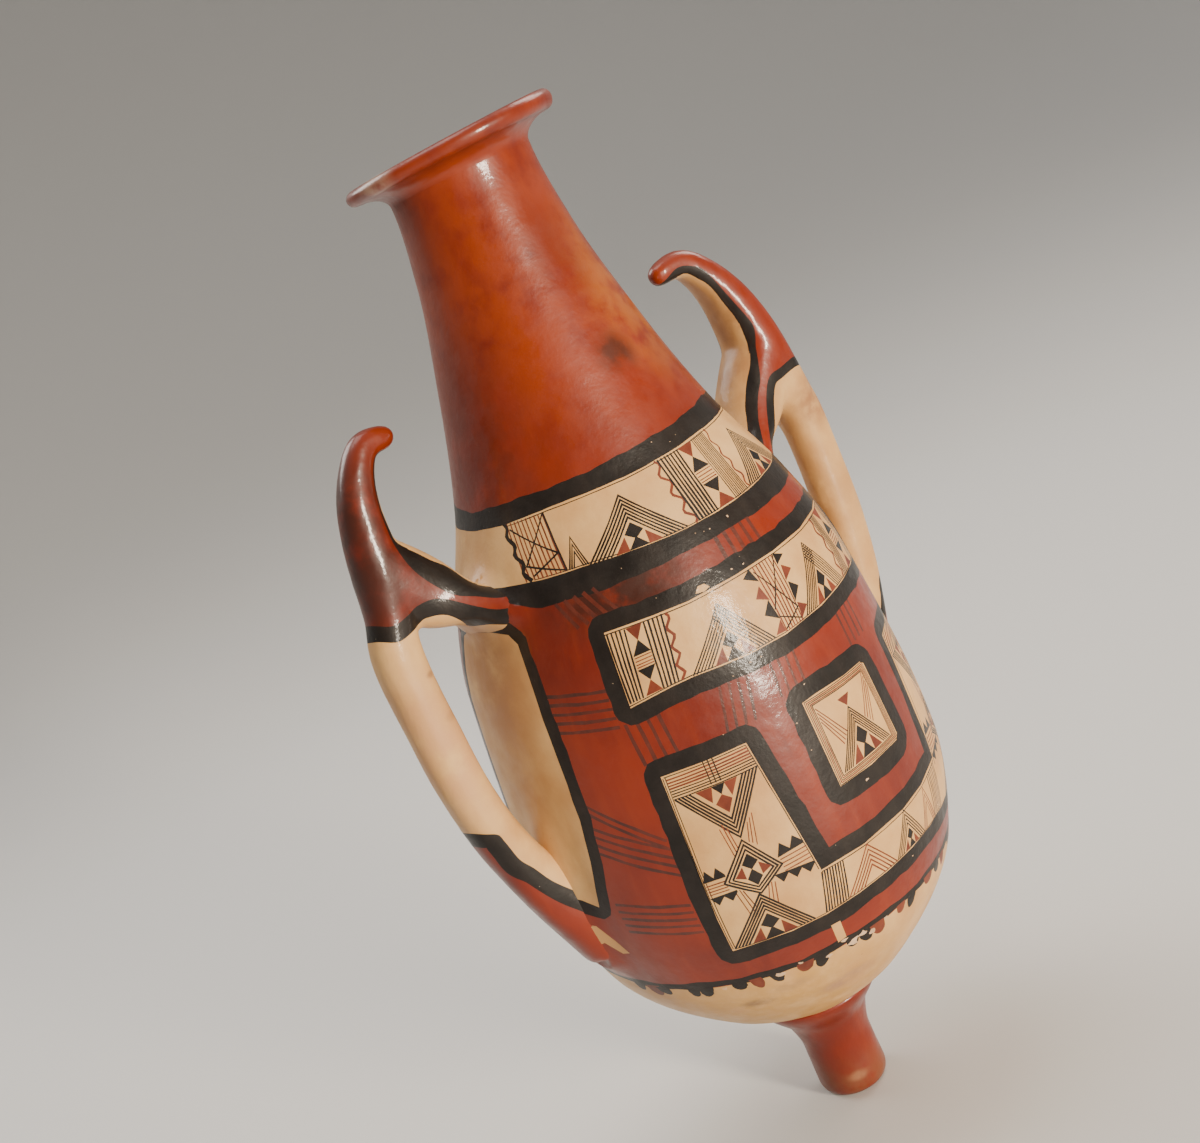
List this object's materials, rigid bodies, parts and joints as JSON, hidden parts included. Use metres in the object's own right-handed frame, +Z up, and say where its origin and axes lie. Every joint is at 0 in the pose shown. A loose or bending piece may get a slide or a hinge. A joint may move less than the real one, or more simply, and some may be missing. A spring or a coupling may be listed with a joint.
{
  "type": "footed jar",
  "caption": "Tall hollow jar of painted fired clay on a solid stub foot, with a narrow flared neck and horned strap handles.",
  "frame": {"origin": "middle of the small flat under the foot, at the bottom of the jar's bounding box", "axes": "+Z up along the jar's axis; the two handles stand along -X and +X; the painted front faces -Y"},
  "size_m": [0.3138, 0.232, 0.5678],
  "materials": {
    "painted_clay": "burnished and painted slip under a thin varnish"
  },
  "bodies": {
    "root": {"jar": "painted_clay"}
  },
  "joints": []
}
